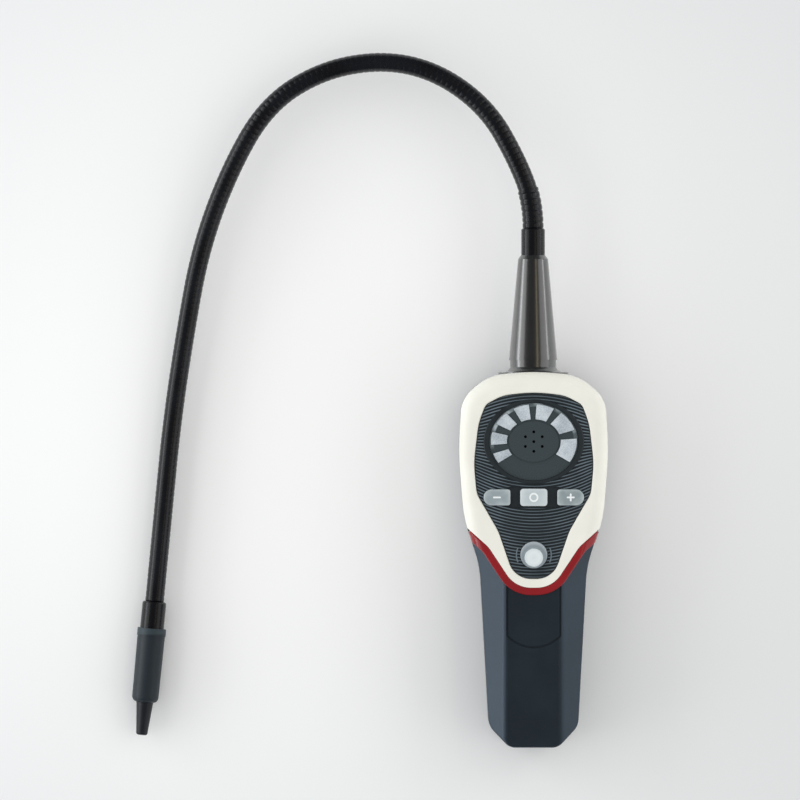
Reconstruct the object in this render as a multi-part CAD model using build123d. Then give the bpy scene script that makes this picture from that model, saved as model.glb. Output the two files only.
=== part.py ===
from build123d import *
import os
from math import atan2, cos, degrees, pi, radians, sin, tan

# A handheld hydrogen leak detector with a gooseneck probe. It lies on its back:
# its front faces +Z, its long axis runs along Y and its probe end is at +Y.
# While the pieces are modelled, Y is measured up from the base of the grip.

# Battery cells, well and door
cell_radius = 7.2
cell_length = 50.0
cell_nub_radius = 2.7
cell_nub_length = 1.2
cell_gap = 0.3
well_foot_height = 10.8
well_wall = 1.2
spring_length = 3.6
spring_foot_radius = 4.6
spring_top_radius = 2.8
contact_thickness = 0.5
contact_wide = 10.8
door_margin = 3.4
door_side_margin = 1.35
door_thickness = 2.2
door_recess = 0.25
door_lip = 1.0
door_lip_thickness = 1.1
door_foot = 2.6
door_gap = 0.2
door_ridges = 3
door_ridge_start = 12.0
door_ridge_pitch = 3.0
door_ridge_radius = 0.5

# Housing outline, seen from the front
grip_top_half = 24.3
grip_taper = 4.0
base_corner_cut = 9.3
base_corner_height = 9.6
grip_head_room = 14.2
head_height = 88.6
head_half = 34.0
head_low_narrowing = 2.4
head_low_rise = 22.0
head_wide_drop = 36.6
head_corner_narrowing = 1.4
head_corner_drop = 12.1
shoulder_narrowing = 14.0
shoulder_drop = 1.6
outline_rounds = (6.5, 8.0, 50.0, 60.0, 140.0, 15.0, 22.0)
crown_round = 80.0

# Depth of the housing, from the resting face to the front
housing_depth = 46.0
split_depth = 22.0
wall = 2.2
back_round = 7.0
bezel_round = 5.5
bezel_inner_round = 0.7

# Cream shield with its red band
shield_edge_slope = 0.89
shield_bend_half = 20.5
shield_bend_rise = 9.0
shield_foot_half = 8.3
shield_foot_drop = 9.4
shield_bend_round = 12.0
shield_foot_round = 13.0
band_width = 3.4
band_round = 0.6
band_skirt = 13.0

# Grip front with sloping flanks and an outlined thumb pad
grip_drop = 0.8
grip_flat_half = 13.0
flank_slope = 0.95
crease_round = 5.0
flank_edge_round = 1.2
pad_side_margin = 1.4
pad_length = 18.2
pad_foot_sag = 5.0
groove_width = 0.9
groove_depth = 0.6

# Control panel insert
panel_drop = 0.8
panel_thickness = 2.6
panel_crown_drop = 9.4
panel_brow_half_gap = 20.0
panel_brow_drop = 11.0
panel_corner_half_gap = 12.2
panel_corner_drop = 15.1
panel_cheek_gap = 9.0
panel_cheek_drop = 23.6
panel_side_gap = 6.9
panel_wide_drop = 41.6
panel_waist_narrowing = 1.3
panel_waist_rise = 1.8
panel_tongue_half = 16.0
panel_tongue_rise = 16.2
panel_foot_half = 8.6
panel_foot_drop = 5.3
panel_crown_round = 60.0
panel_rounds = (18.0, 5.0, 30.0, 45.0, 10.0, 20.0, 10.3)
panel_ledge = 1.6
panel_edge_round = 0.6
fit_gap = 0.15

# Display with its light guide
display_drop = 31.8
display_half_wide = 20.4
display_half_tall = 17.8
ridge_wide = 2.4
ridge_tall = 1.4
ridge_rise = 0.7
ridge_round = 0.5
guide_margin = 0.9
disc_half_wide = 11.3
disc_half_tall = 9.2
segment_margin = 0.9
disc_rise = 0.5
segment_count = 7
first_segment_angle = 211.0
first_segment_span = 14.5
segment_growth = 3.2
segment_gap = 12.0
display_flange = 1.4
display_flange_thickness = 1.2
guide_plate = 1.6
guide_rise = 0.3
sound_hole = 1.3
sound_hole_count = 6
sound_pitch = 4.4

# Buttons
row_gap = 2.15
key_wide = 12.1
key_tall = 7.3
key_outer_round = 3.6
key_inner_round = 1.2
key_edge_gap = 3.05
reset_wide = 12.3
reset_tall = 7.9
reset_round = 1.5
power_foot_gap = 10.7
power_radius = 6.1
power_disc_radius = 4.3
power_disc_drop = 1.2
power_disc_rise = 0.5
button_rise = 1.2
button_edge_round = 0.5
button_flange = 0.8
button_flange_thickness = 1.4
button_travel = 1.0
stem_radius = 1.6
strip_tall = 9.6
strip_depth = 0.4
strip_round = 0.8
crescent_radius = 7.6
crescent_width = 0.6
crescent_rise = 0.35
crescent_sweep = 50.0

# Neck collar and cone, turned about the long axis
collar_radius = 16.1
collar_sink = 1.3
collar_rim = 0.9
collar_height = 6.6
collar_neck_step = 0.45
collar_flare_height = 2.4
collar_flare_waist = 0.7
cone_foot_radius = 11.0
cone_length = 45.9
cone_shoulder_radius = 6.9
cone_shoulder_length = 1.8
cone_top_radius = 5.6
neck_spigot_radius = 9.0
neck_bore_length = 12.0
neck_flange_seat = 2.3
neck_flange_radius = 11.5
neck_flange_thickness = 2.0
lead_bore_radius = 2.2
root_ferrule_radius = 5.4
root_ferrule_length = 12.3
ferrule_round = 1.0

# Gooseneck, as points chosen along its bend: across, up from its root, height
tube_diameter = 8.7
gooseneck_route = (
    (0.0, 0.0, 23.0),
    (0.0, 12.0, 23.0),
    (-7.5, 31.5, 22.6),
    (-20.5, 54.4, 21.6),
    (-42.7, 71.1, 20.2),
    (-67.7, 77.2, 18.4),
    (-96.6, 72.3, 16.4),
    (-121.8, 56.2, 14.2),
    (-139.0, 26.0, 12.0),
    (-152.0, -9.5, 9.8),
    (-159.0, -48.0, 8.0),
    (-165.0, -88.0, 6.9),
    (-169.0, -129.0, 6.55),
    (-173.0, -170.5, 6.55),
)
run_share = 0.45

# Sensor end of the probe
probe_radius = 6.55
probe_ferrule_radius = 5.45
probe_ferrule_length = 12.3
sleeve_length = 34.0
sleeve_end_radius = 6.05
sleeve_rim_length = 3.5
sleeve_rim_step = 0.25
sleeve_bore_radius = 4.6
sleeve_end_round = 2.6
element_radius = 4.4
element_length = 12.0
tip_length = 15.0
tip_root_radius = 3.85
tip_end_radius = 2.55
tip_spigot_length = 8.0
tip_spigot_radius = 3.0
tip_bore_radius = 1.2
vent_gap = 0.15

# Boards and what they carry
board_drop = 14.6
board_thickness = 1.6
board_inset = 1.0
board_foot_rise = 2.0
board_top_drop = 7.6
standoff_radius = 2.6
switch_size = 6.0
switch_height = 3.5
switch_nub = 1.2
lamp_long = 3.4
lamp_wide = 2.8
lamp_rise = 1.8
sounder_radius = 7.6
sounder_length = 5.5
connector_wide = 9.0
connector_tall = 6.0
connector_drop = 11.0
connector_wall = 1.0
lead_radius = 1.6

# Housing screws
screw_radius = 1.45
screw_length = 26.0
screw_head_radius = 2.75
screw_head_height = 2.2
screw_head_recess = 0.8
screw_gap = 0.25
boss_wall = 1.7
boss_reach = 1.0
upper_screw_side_gap = 9.0
upper_screw_drop = 20.6
lower_screw_side_gap = 5.7
lower_screw_rise = 9.2

# Heights along the body, worked out from the sizes above
well_half = 2 * cell_radius + 1.5 * cell_gap
well_length = cell_length + cell_nub_length + spring_length + 2 * contact_thickness
well_top_height = well_foot_height + well_length + well_wall
door_half = well_half + door_side_margin
door_length = well_foot_height + well_length + door_margin
grip_top_height = well_top_height + grip_head_room
body_height = grip_top_height + head_height
panel_wide_half = head_half - panel_side_gap
panel_waist_half = panel_wide_half - panel_waist_narrowing
panel_foot_height = grip_top_height - panel_foot_drop
shield_foot_height = grip_top_height - shield_foot_drop
pad_foot_height = shield_foot_height - band_width - pad_length
display_height = body_height - display_drop
row_height = display_height - display_half_tall - display_flange - row_gap - reset_tall / 2
key_offset = panel_waist_half - key_edge_gap - key_wide / 2
power_height = panel_foot_height + power_foot_gap
collar_seat = body_height - collar_sink
cone_foot_height = collar_seat + collar_height
cone_shoulder_height = cone_foot_height + cone_length
cone_top_height = cone_shoulder_height + cone_shoulder_length
ferrule_top_height = cone_top_height + root_ferrule_length
centre_height = ferrule_top_height / 2
board_foot_height = grip_top_height + board_foot_rise
board_top_height = body_height - board_top_drop
connector_height = board_top_height - connector_drop
upper_screw = (head_half - upper_screw_side_gap, body_height - upper_screw_drop)
lower_screw = (grip_top_half - lower_screw_side_gap, well_top_height + lower_screw_rise)
upper_standoff = (upper_screw[0] / 2, board_top_height - 3 * standoff_radius)
lower_standoff = (panel_waist_half - 2 * standoff_radius, board_foot_height + 6 * standoff_radius)

# Depths from the resting face, worked out from the sizes above
grip_front = housing_depth - grip_drop
panel_front = housing_depth - panel_drop
panel_back = panel_front - panel_thickness
display_back = panel_back - display_flange_thickness
bezel_floor = panel_back - wall
board_depth = panel_back - board_drop
board_front = board_depth + board_thickness
switch_top = board_front + switch_height + switch_nub
screw_seat = screw_head_recess + screw_head_height
screw_top = screw_seat + screw_length
neck_depth = housing_depth / 2
door_inner = door_recess + door_thickness
well_floor = door_inner + door_gap
lower_cell_depth = well_floor + cell_gap + cell_radius
upper_cell_depth = lower_cell_depth + 2 * cell_radius + cell_gap
well_ceiling = upper_cell_depth + cell_radius + cell_gap


def mirrored(half_points):
    return list(half_points) + [(-x, y) for x, y in reversed(half_points)]


def rounded_shape(points, radii):
    return make_face(FilletPolyline(*points, radius=radii, close=True))


def prism(shape, low, high):
    return extrude(Pos(0, 0, low) * shape, high - low)


def disc(x, y, radius, low, high):
    return prism(Pos(x, y) * Circle(radius), low, high)


def turned(points):
    """A solid of revolution about Y from (radius, height) points."""
    return revolve(make_face(Polyline(*points, close=True)), Axis.Y)


def both_sides(places):
    return [(side * x, y) for x, y in places for side in (-1, 1)]


def body_outline():
    base_corner_half = grip_top_half - grip_taper
    half = [
        (base_corner_half - base_corner_cut, 0),
        (base_corner_half, base_corner_height),
        (grip_top_half, grip_top_height),
        (head_half - head_low_narrowing, grip_top_height + head_low_rise),
        (head_half, body_height - head_wide_drop),
        (head_half - head_corner_narrowing, body_height - head_corner_drop),
        (head_half - shoulder_narrowing, body_height - shoulder_drop),
    ]
    points = half + [(0, body_height)] + [(-x, y) for x, y in reversed(half)]
    radii = list(outline_rounds) + [crown_round] + list(reversed(outline_rounds))
    return rounded_shape(points, radii)


def shield_region():
    """All of the front above the lower edge of the cream shell, run out past its sides."""
    reach = 2 * head_half
    bend_height = grip_top_height + shield_bend_rise
    points = mirrored([
        (shield_foot_half, shield_foot_height),
        (shield_bend_half, bend_height),
        (reach, bend_height + (reach - shield_bend_half) * shield_edge_slope),
        (reach, 2 * body_height),
    ])
    radii = [shield_foot_round, shield_bend_round, 0, 0]
    return rounded_shape(points, radii + list(reversed(radii)))


def panel_outline():
    half = [
        (head_half - panel_brow_half_gap, body_height - panel_brow_drop),
        (head_half - panel_corner_half_gap, body_height - panel_corner_drop),
        (head_half - panel_cheek_gap, body_height - panel_cheek_drop),
        (panel_wide_half, body_height - panel_wide_drop),
        (panel_waist_half, row_height + panel_waist_rise),
        (panel_tongue_half, grip_top_height + panel_tongue_rise),
        (panel_foot_half, panel_foot_height),
    ]
    points = [(0, body_height - panel_crown_drop)] + mirrored(half)
    radii = [panel_crown_round] + list(panel_rounds) + list(reversed(panel_rounds))
    return rounded_shape(points, radii)


outline = body_outline()
inside = offset(outline, amount=-wall)
shield = shield_region()
shield_and_band = offset(shield, amount=band_width, kind=Kind.INTERSECTION)
panel_shape = panel_outline()


def collar_clearance():
    """The flat seat for the collar and the bore for the neck behind it."""
    seat_radius = collar_radius + fit_gap
    bore_radius = neck_spigot_radius + fit_gap
    above = collar_seat + collar_height
    below = collar_seat - neck_bore_length
    return Pos(0, 0, neck_depth) * turned([(0, below), (bore_radius, below), (bore_radius, collar_seat),
                                           (seat_radius, collar_seat), (seat_radius, above), (0, above)])


def screw_bosses(places, radius, low, high):
    return [disc(x, y, radius, low, high) for x, y in places]


def front_block():
    block = prism(outline, split_depth, housing_depth)
    rim = block.edges().group_by(Axis.Z)[-1]
    return fillet(rim, bezel_round)


def beside_panel(edge):
    middle = edge.center()
    return panel_shape.distance_to(Vertex(middle.X, middle.Y, 0)) < 2 * fit_gap


def front_bezel():
    shell = front_block() & prism(shield, split_depth, housing_depth)
    shell -= prism(inside, split_depth, bezel_floor)
    shell -= prism(offset(panel_shape, amount=-panel_ledge), bezel_floor, housing_depth)
    shell -= prism(offset(panel_shape, amount=fit_gap), panel_back, housing_depth)
    inner_rim = [edge for edge in shell.edges().group_by(Axis.Z)[-1] if beside_panel(edge)]
    shell = fillet(inner_rim, bezel_inner_round)
    for side in (-1, 1):
        key_room = offset(key_shape(side), amount=button_flange + fit_gap)
        shell -= prism(key_room, bezel_floor, panel_back)
    upper = both_sides([upper_screw])
    for boss in screw_bosses(upper, screw_radius + boss_wall, split_depth, bezel_floor + boss_reach):
        shell += boss
    for hole in screw_bosses(upper, screw_radius, split_depth, screw_top):
        shell -= hole
    return shell - collar_clearance()


def accent_band():
    band = front_block() & prism(shield_and_band - shield, split_depth, housing_depth)
    band -= prism(inside, split_depth, housing_depth - band_skirt)
    return fillet(band.edges().group_by(Axis.Z)[-1], band_round)


def flank_profile(sink):
    """The grip's cross-section: a flat front between sloping flanks, run along Y."""
    reach = 2 * grip_top_half
    drop = (reach - grip_flat_half) * flank_slope
    points = mirrored([(grip_flat_half, grip_front - sink), (reach, grip_front - sink - drop),
                       (reach, -drop)])
    section = rounded_shape(points, [crease_round, 0, 0, 0, 0, crease_round])
    return extrude(Plane.XZ * section, 2 * body_height, both=True)


def pad_groove():
    pad_half = grip_flat_half - pad_side_margin
    sides = Polyline((pad_half, pad_foot_height), (pad_half, body_height), (-pad_half, body_height),
                     (-pad_half, pad_foot_height))
    foot = ThreePointArc((-pad_half, pad_foot_height), (0, pad_foot_height - pad_foot_sag),
                         (pad_half, pad_foot_height))
    pad = make_face([sides, foot])
    ring = offset(pad, amount=groove_width) - pad
    return prism(ring, grip_front - groove_depth, housing_depth)


def grip_front_block():
    """The grip's front with its outer rims rounded, but not where it meets the band."""
    block = prism(outline - shield_and_band, split_depth, grip_front) & flank_profile(0)
    rims = []
    for edge in block.edges():
        middle = edge.center()
        size = edge.bounding_box().size
        upright = size.X + size.Y < fit_gap
        on_band = shield_and_band.distance_to(Vertex(middle.X, middle.Y, 0)) < fit_gap
        if middle.Z > split_depth + wall and not upright and not on_band:
            rims.append(edge)
    return fillet(rims, flank_edge_round)


def grip_front_shell():
    shell = grip_front_block()
    shell -= prism(inside, split_depth, grip_front - wall) & flank_profile(wall / cos(pi / 4))
    lower = both_sides([lower_screw])
    within = prism(outline - shield_and_band, split_depth, grip_front) & flank_profile(wall / 2)
    for boss in screw_bosses(lower, screw_radius + boss_wall, split_depth, grip_front):
        shell += boss & within
    for hole in screw_bosses(lower, screw_radius, split_depth, screw_top):
        shell -= hole
    return shell - pad_groove()


def rear_block():
    block = prism(outline, 0, split_depth)
    rim = block.edges().group_by(Axis.Z)[0]
    return fillet(rim, back_round)


def door_way():
    """The opening for the battery door with the grooves that its lips run in."""
    length = door_length + door_gap
    slot_half = door_half - door_lip + door_gap
    slot = Pos(0, length / 2, well_floor / 2) * Box(2 * slot_half, length + 1, well_floor)
    groove_low = door_inner - door_lip_thickness - door_gap
    depth = well_floor - groove_low
    groove = Pos(0, length / 2, groove_low + depth / 2)
    groove *= Box(2 * (door_half + door_gap), length, depth)
    return slot + groove


def battery_well():
    room = Box(2 * well_half, well_length, well_ceiling, align=(Align.CENTER, Align.MIN, Align.MIN))
    casing = Box(2 * (well_half + well_wall), well_length + 2 * well_wall, well_ceiling + well_wall,
                 align=(Align.CENTER, Align.MIN, Align.MIN))
    return Pos(0, well_foot_height - well_wall, 0) * casing, Pos(0, well_foot_height, 0) * room


def rear_shell():
    block = rear_block()
    frame = Box(2 * (door_half + wall), 2 * (door_length + wall), 2 * (well_floor + well_wall))
    shell = block - prism(inside, wall, split_depth)
    shell += block & frame
    casing, room = battery_well()
    shell += casing
    shell -= room
    shell -= door_way()
    places = both_sides([upper_screw, lower_screw])
    for boss in screw_bosses(places, screw_radius + screw_gap + boss_wall, wall / 2, split_depth):
        shell += boss
    standoffs = both_sides([upper_standoff, lower_standoff])
    for standoff in screw_bosses(standoffs, standoff_radius, wall / 2, board_depth):
        shell += standoff
    for hole in screw_bosses(places, screw_radius + screw_gap, 0, split_depth):
        shell -= hole
    for sink in screw_bosses(places, screw_head_radius + screw_gap, 0, screw_seat):
        shell -= sink
    return shell - collar_clearance()


def battery_door():
    flat_half = door_half - door_lip
    length = door_length - door_foot
    plate = Pos(0, door_foot + length / 2, door_recess + door_thickness / 2)
    plate *= Box(2 * flat_half, length, door_thickness)
    lips = Pos(0, door_foot + length / 2, door_inner - door_lip_thickness / 2)
    lips *= Box(2 * door_half, length, door_lip_thickness)
    door = (plate + lips) & rear_block()
    for row in range(door_ridges):
        height = door_ridge_start + row * door_ridge_pitch
        notch = Pos(0, height, door_recess) * Rot(0, 90, 0) * Cylinder(door_ridge_radius, flat_half)
        door -= notch
    return door


def housing_screws():
    screws = []
    for x, y in both_sides([upper_screw, lower_screw]):
        head = disc(x, y, screw_head_radius, screw_head_recess, screw_seat)
        shank = disc(x, y, screw_radius, screw_seat, screw_top)
        screws.append(head + shank)
    return screws


def ellipse_disc(half_wide, half_tall, low, high):
    return prism(Pos(0, display_height) * Ellipse(half_wide, half_tall), low, high)


def key_shape(side):
    """A sensitivity key: its outer end is fully round, its inner end nearly square."""
    near = key_offset - key_wide / 2
    far = key_offset + key_wide / 2
    points = [(near, -key_tall / 2), (far, -key_tall / 2), (far, key_tall / 2), (near, key_tall / 2)]
    shape = rounded_shape(points, [key_inner_round, key_outer_round, key_outer_round, key_inner_round])
    shape = Pos(0, row_height) * shape
    return mirror(shape, Plane.YZ) if side < 0 else shape


def reset_shape():
    return Pos(0, row_height) * RectangleRounded(reset_wide, reset_tall, reset_round)


def power_shape():
    return Pos(0, power_height) * Circle(power_radius)


def power_crescent(middle):
    """A raised line bent round one side of the power button."""
    ring = Circle(crescent_radius + crescent_width) - Circle(crescent_radius)
    reach = 2 * crescent_radius
    half = radians(crescent_sweep / 2)
    wedge = make_face(Polyline((0, 0), (reach * cos(half), -reach * sin(half)),
                               (reach * cos(half), reach * sin(half)), close=True))
    crescent = Pos(0, power_height) * Rot(0, 0, middle) * (ring & wedge)
    return prism(crescent, panel_back, panel_front + crescent_rise)


def control_panel():
    panel = prism(panel_shape, panel_back, panel_front)
    rim = panel.edges().group_by(Axis.Z)[-1]
    panel = fillet(rim, panel_edge_round)
    ridge = ellipse_disc(display_half_wide + ridge_wide, display_half_tall + ridge_tall, panel_back,
                         panel_front + ridge_rise)
    panel += fillet(ridge.edges().group_by(Axis.Z)[-1], ridge_round)
    panel -= ellipse_disc(display_half_wide, display_half_tall, panel_back, panel_front + ridge_rise)
    strip_wide = 2 * (key_offset - key_wide / 2 + key_inner_round)
    strip = Pos(0, row_height) * RectangleRounded(strip_wide, strip_tall, strip_round)
    panel -= prism(strip, panel_front - strip_depth, panel_front)
    for middle in (0, 180):
        panel += power_crescent(middle)
    for shape in (key_shape(-1), key_shape(1), reset_shape(), power_shape()):
        panel -= prism(offset(shape, amount=fit_gap), panel_back, panel_front)
    return panel


def segment_shapes(grow=0):
    """Seven windows between two ellipses, each wider than the last going clockwise."""
    inner_wide = disc_half_wide + segment_margin - grow
    inner_tall = disc_half_tall + segment_margin - grow
    outer_wide = display_half_wide - guide_margin + grow
    outer_tall = display_half_tall - guide_margin + grow
    ring = Ellipse(outer_wide, outer_tall) - Ellipse(inner_wide, inner_tall)
    reach = 2 * display_half_wide
    shapes = []
    start = first_segment_angle
    for index in range(segment_count):
        end = start - first_segment_span - index * segment_growth
        rays = [(reach * cos(radians(angle)), reach * sin(radians(angle))) for angle in (end, start)]
        middle = radians((start + end) / 2)
        back = grow / sin(radians(start - end) / 2)
        apex = (-back * cos(middle), -back * sin(middle))
        wedge = make_face(Polyline((0, 0), *rays, close=True))
        shapes.append(Pos(0, display_height) * (ring & (Pos(*apex) * wedge)))
        start = end - segment_gap
    return shapes


def display_cover():
    cover = ellipse_disc(display_half_wide - fit_gap, display_half_tall - fit_gap,
                         display_back, panel_front)
    cover += ellipse_disc(display_half_wide + display_flange, display_half_tall + display_flange,
                          display_back, panel_back)
    cover += ellipse_disc(disc_half_wide, disc_half_tall, display_back, panel_front + disc_rise)
    for shape in segment_shapes(fit_gap):
        cover -= prism(shape, display_back, panel_front)
    holes = [Pos(0, 0)] + list(PolarLocations(sound_pitch, sound_hole_count, start_angle=90))
    for hole in holes:
        cover -= prism(Pos(0, display_height) * hole * Circle(sound_hole / 2), display_back,
                       panel_front + disc_rise)
    return cover


def light_guide():
    low = display_back - guide_plate
    guide = ellipse_disc(display_half_wide - guide_margin, display_half_tall - guide_margin,
                         low, display_back)
    guide -= ellipse_disc(disc_half_wide, disc_half_tall, low, display_back)
    for shape in segment_shapes():
        guide += prism(shape, display_back, panel_front + guide_rise)
    return guide


def button(shape, centre, rise):
    flange_top = panel_back - fit_gap
    flange_back = flange_top - button_flange_thickness
    cap = prism(shape, flange_top, panel_front + rise)
    cap = fillet(cap.edges().group_by(Axis.Z)[-1], button_edge_round)
    cap += prism(offset(shape, amount=button_flange), flange_back, flange_top)
    x, y = centre
    return cap + disc(x, y, stem_radius, switch_top + button_travel + fit_gap, flange_back)


def power_button():
    body = button(power_shape(), (0, power_height), button_rise)
    middle = disc(0, power_height - power_disc_drop, power_disc_radius, panel_front,
                  panel_front + button_rise + power_disc_rise)
    return body + fillet(middle.edges().group_by(Axis.Z)[-1], button_edge_round)


def main_board():
    shape = offset(inside, amount=-board_inset)
    height = board_top_height - board_foot_height
    shape &= Pos(0, board_foot_height + height / 2) * Rectangle(2 * head_half, height)
    board = prism(shape, board_depth, board_front)
    for x, y in both_sides([upper_screw]):
        board -= disc(x, y, screw_radius + boss_wall + board_inset, board_depth, board_front)
    return board


def button_centres():
    return [(-key_offset, row_height), (0, row_height), (key_offset, row_height),
            (0, power_height)]


def button_switches():
    switches = []
    for x, y in button_centres():
        base = Pos(x, y, board_front + switch_height / 2) * Box(switch_size, switch_size, switch_height)
        switches.append(base + disc(x, y, stem_radius, board_front + switch_height, switch_top))
    return switches


def indicator_lamps():
    lamps = []
    for shape in segment_shapes():
        middle = shape.center()
        place = Pos(middle.X, middle.Y, board_front + lamp_rise / 2)
        lamps.append(place * Box(lamp_wide, lamp_long, lamp_rise))
    return lamps


def sounder():
    return disc(0, display_height, sounder_radius, display_back - sounder_length, display_back)


def neck_collar():
    seat = collar_seat
    flange_top = seat - neck_flange_seat
    flange_foot = flange_top - neck_flange_thickness
    rim_top = seat + collar_rim
    neck_radius = cone_foot_radius - collar_neck_step
    flare_top = rim_top + collar_flare_height
    flare_waist = (neck_radius + 2 * collar_flare_waist, rim_top + collar_flare_waist)
    lines = Polyline((neck_radius, flare_top), (neck_radius, cone_foot_height),
                     (lead_bore_radius, cone_foot_height), (lead_bore_radius, flange_foot),
                     (neck_flange_radius, flange_foot),
                     (neck_flange_radius, flange_top), (neck_spigot_radius, flange_top),
                     (neck_spigot_radius, seat), (collar_radius, seat), (collar_radius, rim_top))
    flare = ThreePointArc((collar_radius, rim_top), flare_waist, (neck_radius, flare_top))
    return Pos(0, 0, neck_depth) * revolve(make_face([lines, flare]), Axis.Y)


def neck_cone():
    return Pos(0, 0, neck_depth) * turned([
        (lead_bore_radius, cone_foot_height),
        (cone_foot_radius, cone_foot_height),
        (cone_shoulder_radius, cone_shoulder_height),
        (cone_top_radius, cone_top_height),
        (lead_bore_radius, cone_top_height),
    ])


def root_ferrule():
    ferrule = turned([(lead_bore_radius, cone_top_height), (root_ferrule_radius, cone_top_height),
                      (root_ferrule_radius, ferrule_top_height), (lead_bore_radius, ferrule_top_height)])
    edge = ferrule.edges().filter_by(GeomType.CIRCLE).group_by(Axis.Y)[-1].sort_by(SortBy.RADIUS)[-1]
    return Pos(0, 0, neck_depth) * fillet(edge, ferrule_round)


def probe_lead():
    lead_foot = connector_height + connector_tall / 2
    return Pos(0, 0, neck_depth) * turned([(0, lead_foot), (lead_radius, lead_foot),
                                           (lead_radius, ferrule_top_height), (0, ferrule_top_height)])


def board_connector():
    depth = board_depth - neck_depth + lead_radius + connector_wall
    return Pos(0, connector_height, board_depth - depth / 2) * Box(connector_wide, connector_tall, depth)


def gooseneck():
    points = [Vector(x, ferrule_top_height + y, z) for x, y, z in gooseneck_route]
    radii = []
    for before, corner, after in zip(points, points[1:], points[2:]):
        arriving = corner - before
        leaving = after - corner
        shorter = min(arriving.length, leaving.length)
        half_turn = radians(arriving.get_angle(leaving)) / 2
        radii.append(run_share * shorter / tan(half_turn))
    print("gooseneck radii", [round(radius, 1) for radius in radii])
    path = FilletPolyline(*points, radius=radii)
    print("gooseneck length", round(path.length, 1))
    section = Plane(origin=points[0], z_dir=points[1] - points[0]) * Circle(tube_diameter / 2)
    tube = sweep(section, path=path)
    print("volume over section times length", round(tube.volume / (section.area * path.length), 5))
    return tube


def probe_placed(shape):
    """Moves a piece drawn along -Y from the origin to the gooseneck's far end."""
    end = Vector(*gooseneck_route[-1]) + Vector(0, ferrule_top_height, 0)
    run = Vector(*gooseneck_route[-1]) - Vector(*gooseneck_route[-2])
    lean = degrees(atan2(run.X, -run.Y))
    return Pos(end.X, end.Y, end.Z) * Rot(0, 0, lean) * shape


def probe_ferrule():
    ferrule = turned([(0, 0), (probe_ferrule_radius, 0), (probe_ferrule_radius, -probe_ferrule_length),
                      (0, -probe_ferrule_length)])
    edge = ferrule.edges().filter_by(GeomType.CIRCLE).group_by(Axis.Y)[-1]
    return probe_placed(fillet(edge, ferrule_round))


def sensor_sleeve():
    start = -probe_ferrule_length
    rim = start - sleeve_rim_length
    end = start - sleeve_length
    bore_end = end + tip_spigot_length + vent_gap
    body_radius = probe_radius - sleeve_rim_step
    sleeve = turned([(sleeve_bore_radius, start), (probe_radius, start), (probe_radius, rim),
                     (body_radius, rim), (sleeve_end_radius, end), (tip_spigot_radius, end),
                     (tip_spigot_radius, bore_end), (sleeve_bore_radius, bore_end)])
    edge = sleeve.edges().filter_by(GeomType.CIRCLE).group_by(Axis.Y)[0].sort_by(SortBy.RADIUS)[-1]
    return probe_placed(fillet(edge, sleeve_end_round))


def sensor_element():
    end = -probe_ferrule_length - sleeve_length + tip_spigot_length + 2 * vent_gap
    return probe_placed(turned([(0, end), (element_radius, end), (element_radius, end + element_length),
                                (0, end + element_length)]))


def sensor_tip():
    root = -probe_ferrule_length - sleeve_length
    end = root - tip_length
    spigot = tip_spigot_radius - fit_gap
    tip = turned([(tip_bore_radius, root + tip_spigot_length), (spigot, root + tip_spigot_length),
                  (spigot, root), (tip_root_radius, root), (tip_end_radius, end), (tip_bore_radius, end)])
    edge = tip.edges().filter_by(GeomType.CIRCLE).group_by(Axis.Y)[0].sort_by(SortBy.RADIUS)[-1]
    return probe_placed(fillet(edge, ferrule_round))


def cell_place(column, layer):
    x = (2 * column - 1) * (cell_radius + cell_gap / 2)
    z = upper_cell_depth if layer else lower_cell_depth
    return x, z


def nub_up(column, layer):
    return (column + layer) % 2 == 0


def battery_cell(column, layer):
    x, z = cell_place(column, layer)
    length = cell_length + cell_nub_length
    cell = turned([(0, 0), (cell_radius, 0), (cell_radius, cell_length), (cell_nub_radius, cell_length),
                   (cell_nub_radius, length), (0, length)])
    foot = well_foot_height + contact_thickness
    if nub_up(column, layer):
        return Pos(x, foot + spring_length, z) * cell
    return Pos(x, foot + length, z) * Rot(180, 0, 0) * cell


def battery_contacts():
    """Two plates at each end of the well, each with one spring and one flat contact."""
    spring = turned([(spring_foot_radius - contact_thickness, 0), (spring_foot_radius, 0),
                     (spring_top_radius, spring_length),
                     (spring_top_radius - contact_thickness, spring_length)])
    contacts = []
    for column in (0, 1):
        x, low = cell_place(column, 0)
        high = cell_place(column, 1)[1]
        plate = Box(contact_wide, contact_thickness, high - low + cell_radius)
        for at_top in (False, True):
            layer = (0 if nub_up(column, 0) else 1) if not at_top else (1 if nub_up(column, 0) else 0)
            spring_z = cell_place(column, layer)[1]
            if at_top:
                y = well_foot_height + well_length - contact_thickness
                placed = Pos(x, y, spring_z) * Rot(180, 0, 0) * spring
            else:
                y = well_foot_height + contact_thickness
                placed = Pos(x, y, spring_z) * spring
            inward = contact_thickness / 2 if at_top else -contact_thickness / 2
            contacts.append(Pos(x, y + inward, (low + high) / 2) * plate + placed)
    return contacts


def write(name, shape):
    if isinstance(shape, list):
        shape = Compound(children=[solid for piece in shape for solid in piece.solids()])
    export_step(Pos(0, -centre_height, 0) * shape, f"parts/{name}.step")


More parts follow.
